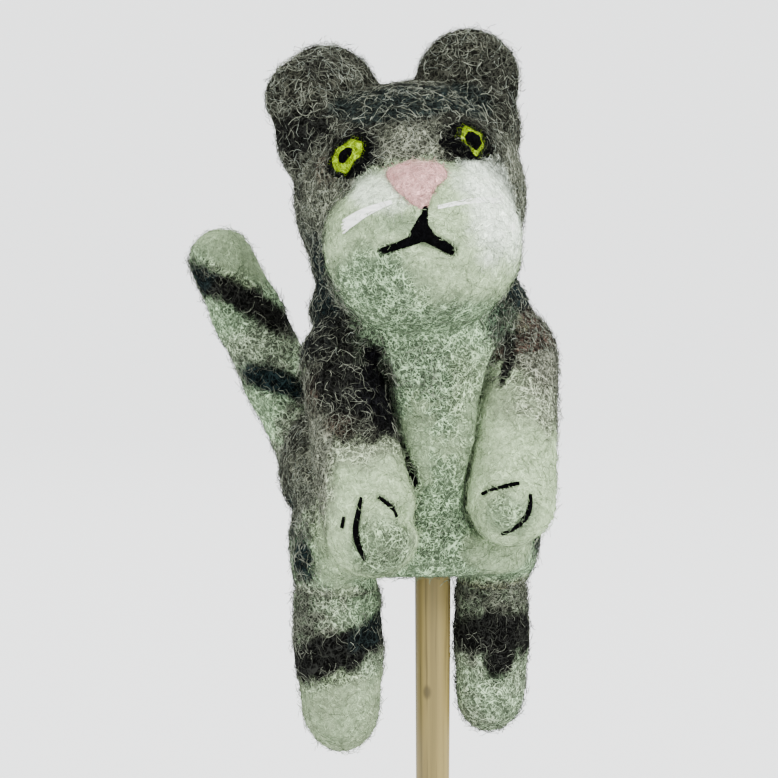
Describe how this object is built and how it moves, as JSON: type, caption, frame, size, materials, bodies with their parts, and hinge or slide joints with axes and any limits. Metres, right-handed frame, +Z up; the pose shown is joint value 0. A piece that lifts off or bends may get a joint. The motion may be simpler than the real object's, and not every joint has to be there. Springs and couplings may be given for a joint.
{
  "type": "finger puppet",
  "caption": "Needle-felted tabby cat finger puppet with a hollow body, shown standing on a thin wooden stick; head, limbs and tail flex at their roots.",
  "frame": {"origin": "centre of the stick's lower end", "axes": "+Z up the stick to the puppet; the puppet faces -Y; +X is to the right of someone facing the puppet"},
  "size_m": [0.0507, 0.0551, 0.1663],
  "materials": {
    "stick_wood": "bare planed wood",
    "wool_tabby": "needle-felted wool, grey-brown and charcoal mix",
    "wool_dark": "needle-felted wool, near black",
    "wool_pale": "needle-felted wool, pale grey-green",
    "wool_pink": "needle-felted wool, pink",
    "wool_yellow_green": "needle-felted wool, yellow-green",
    "yarn_black": "stitched black thread",
    "bristle_white": "white bristle"
  },
  "bodies": {
    "stick": {"stick": "stick_wood"},
    "torso": {"body_sleeve": "wool_tabby", "chest_bib": "wool_pale"},
    "head": {"head_core": "wool_tabby", "muzzle_pad": "wool_pale", "nose_pad": "wool_pink", "mouth_stitch": "yarn_black", "ear_left": "wool_tabby", "eye_patch_left": "wool_dark", "eye_ring_left": "wool_yellow_green", "eye_pupil_left": "wool_dark", "whiskers_left": "bristle_white", "ear_right": "wool_tabby", "eye_patch_right": "wool_dark", "eye_ring_right": "wool_yellow_green", "eye_pupil_right": "wool_dark", "whiskers_right": "bristle_white"},
    "arm_left": {"upper_arm_left": "wool_dark", "forepaw_left": "wool_pale", "toe_stitches_left": "yarn_black"},
    "leg_left": {"leg_left": "wool_tabby", "leg_band_left": "wool_dark", "foot_left": "wool_pale"},
    "arm_right": {"upper_arm_right": "wool_dark", "forepaw_right": "wool_pale", "toe_stitches_right": "yarn_black"},
    "leg_right": {"leg_right": "wool_tabby", "leg_band_right": "wool_dark", "foot_right": "wool_pale"},
    "tail": {"tail": "wool_tabby", "tail_bands": "wool_dark"}
  },
  "joints": [
    {"name": "puppet_lift", "type": "slide", "parent": "stick", "child": "torso", "axis": [0, 0, 1], "range_m": [0, 0.034]},
    {"name": "head_nod", "type": "hinge", "parent": "torso", "child": "head", "pos_m": [-0.0012, 0.0005, 0.1175], "axis": [1, 0, 0], "range_deg": [-15, 10], "stiffness_Nm_per_rad": 0.05},
    {"name": "arm_left_swing", "type": "hinge", "parent": "torso", "child": "arm_left", "pos_m": [-0.015, -0.0055, 0.1153], "axis": [0.9954, 0, 0.0958], "range_deg": [-45, 0], "stiffness_Nm_per_rad": 0.004},
    {"name": "arm_right_swing", "type": "hinge", "parent": "torso", "child": "arm_right", "pos_m": [0.0119, -0.0055, 0.1163], "axis": [0.9816, 0, -0.1908], "range_deg": [-45, 0], "stiffness_Nm_per_rad": 0.004},
    {"name": "leg_left_swing", "type": "hinge", "parent": "torso", "child": "leg_left", "pos_m": [-0.0146, 0, 0.07685], "axis": [1, 0, 0], "range_deg": [-70, 25], "stiffness_Nm_per_rad": 0.004},
    {"name": "leg_right_swing", "type": "hinge", "parent": "torso", "child": "leg_right", "pos_m": [0.0091, 0, 0.07805], "axis": [1, 0, 0], "range_deg": [-70, 25], "stiffness_Nm_per_rad": 0.004},
    {"name": "tail_wag", "type": "hinge", "parent": "torso", "child": "tail", "pos_m": [-0.0096, 0.0211, 0.092], "axis": [0, 1, 0], "range_deg": [-25, 15], "stiffness_Nm_per_rad": 0.006}
  ]
}
